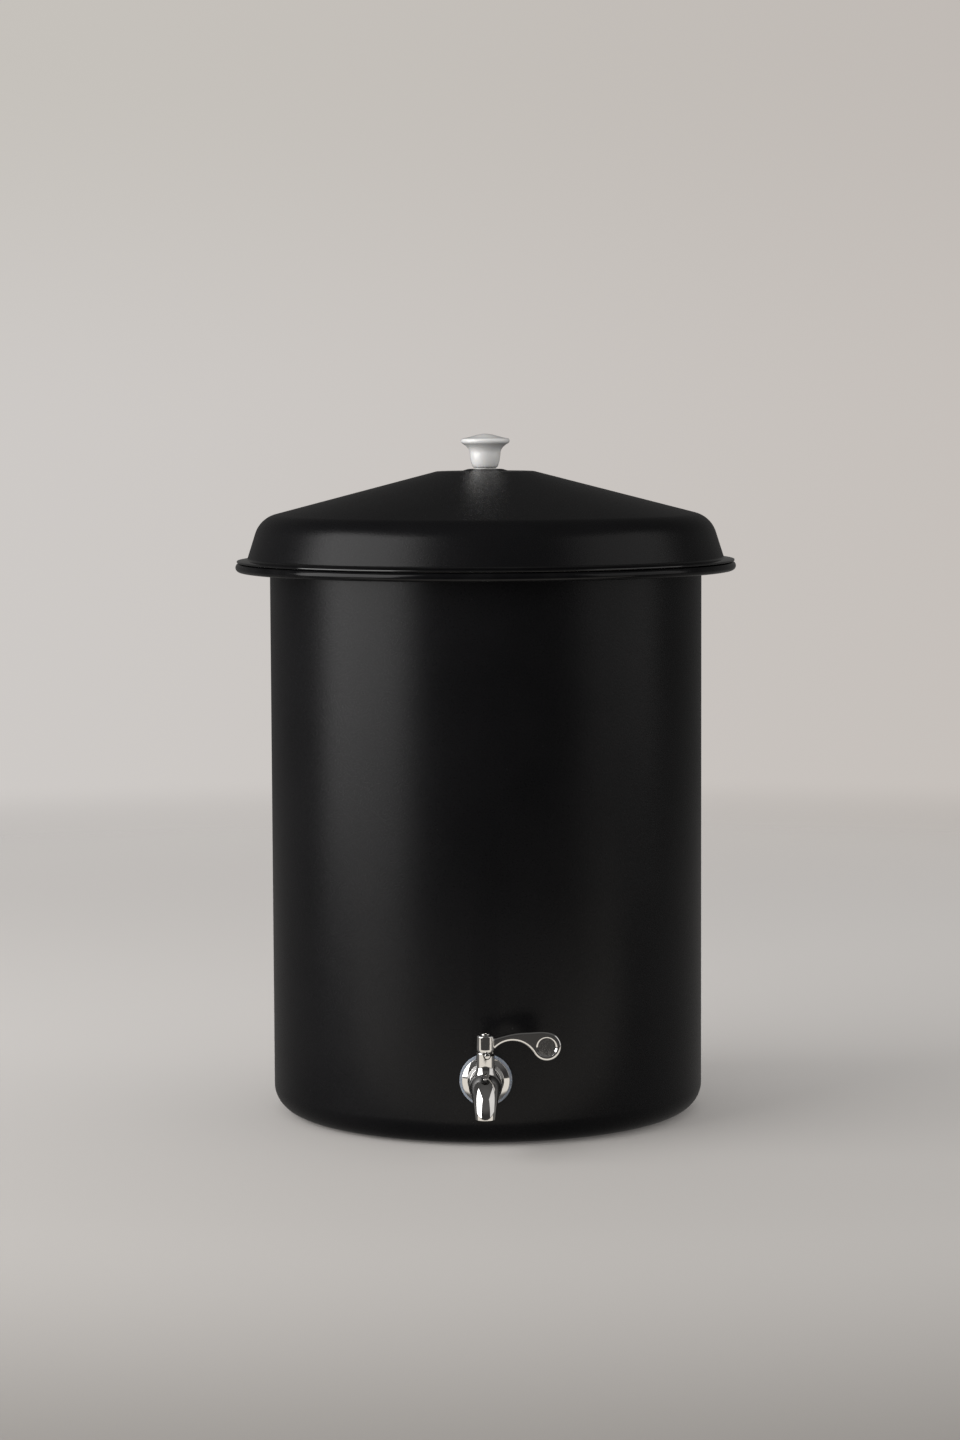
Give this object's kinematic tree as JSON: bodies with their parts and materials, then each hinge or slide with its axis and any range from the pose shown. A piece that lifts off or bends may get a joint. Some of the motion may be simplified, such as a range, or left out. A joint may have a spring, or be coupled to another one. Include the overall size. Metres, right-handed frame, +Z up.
{
  "type": "gravity water filter with tap",
  "caption": "Round steel water filter vessel with a rolled rim, a domed lid with a ceramic knob, a clay filter pot inside, and a lever tap near the base.",
  "frame": {"origin": "on the floor under the vessel's axis, on the flat middle of its base", "axes": "+Z up along the vessel's axis; the tap faces -Y; the closed lever points along +X"},
  "size_m": [0.3524, 0.3808, 0.4775],
  "materials": {
    "receptacle": "fine matt black coating, gloss rolled rim",
    "lid": "fine matt black coating, gloss brim",
    "lid_knob": "gloss white glaze",
    "knob_insert": "turned",
    "knob_seat_washer": "matt silicone",
    "fixings": "turned stainless steel",
    "filter_ring": "moulded, fine satin",
    "filter_pot": "unglazed porous clay",
    "clear_silicone": "translucent silicone",
    "black_rubber": "matt",
    "valve_plastic": "low friction white plastic",
    "polished_steel": "mirror polished stainless steel"
  },
  "bodies": {
    "vessel": {"receptacle": "receptacle", "tap_outer_seal": "clear_silicone", "tap_inner_seal": "clear_silicone", "tap_washer": "fixings", "tap_nut": "fixings", "tap_shank": "polished_steel", "shank_seal": "black_rubber", "tap_body": "polished_steel", "valve_seat_inlet": "valve_plastic", "valve_seat_outlet": "valve_plastic", "stem_thrust_washer": "valve_plastic", "stop_pin": "polished_steel"},
    "filter_unit": {"filter_pot": "filter_pot", "filter_ring": "filter_ring"},
    "lid_assembly": {"lid": "lid", "lid_knob": "lid_knob", "knob_insert": "knob_insert", "knob_seat_washer": "knob_seat_washer", "knob_inner_washer": "fixings", "knob_screw": "fixings"},
    "tap_handle": {"tap_lever": "polished_steel", "lever_screw": "polished_steel", "lever_washer": "fixings", "valve_stem": "fixings", "stem_rings": "black_rubber", "valve_ball": "polished_steel"}
  },
  "joints": [
    {"name": "filter_lift", "type": "slide", "parent": "vessel", "child": "filter_unit", "axis": [0, 0, 1], "range_m": [0, 0.3]},
    {"name": "lid_lift", "type": "slide", "parent": "filter_unit", "child": "lid_assembly", "axis": [0, 0, 1], "range_m": [0, 0.12]},
    {"name": "lever_turn", "type": "hinge", "parent": "vessel", "child": "tap_handle", "pos_m": [0, -0.176, 0.0737], "axis": [0, 0, -1], "range_deg": [0, 90]}
  ]
}
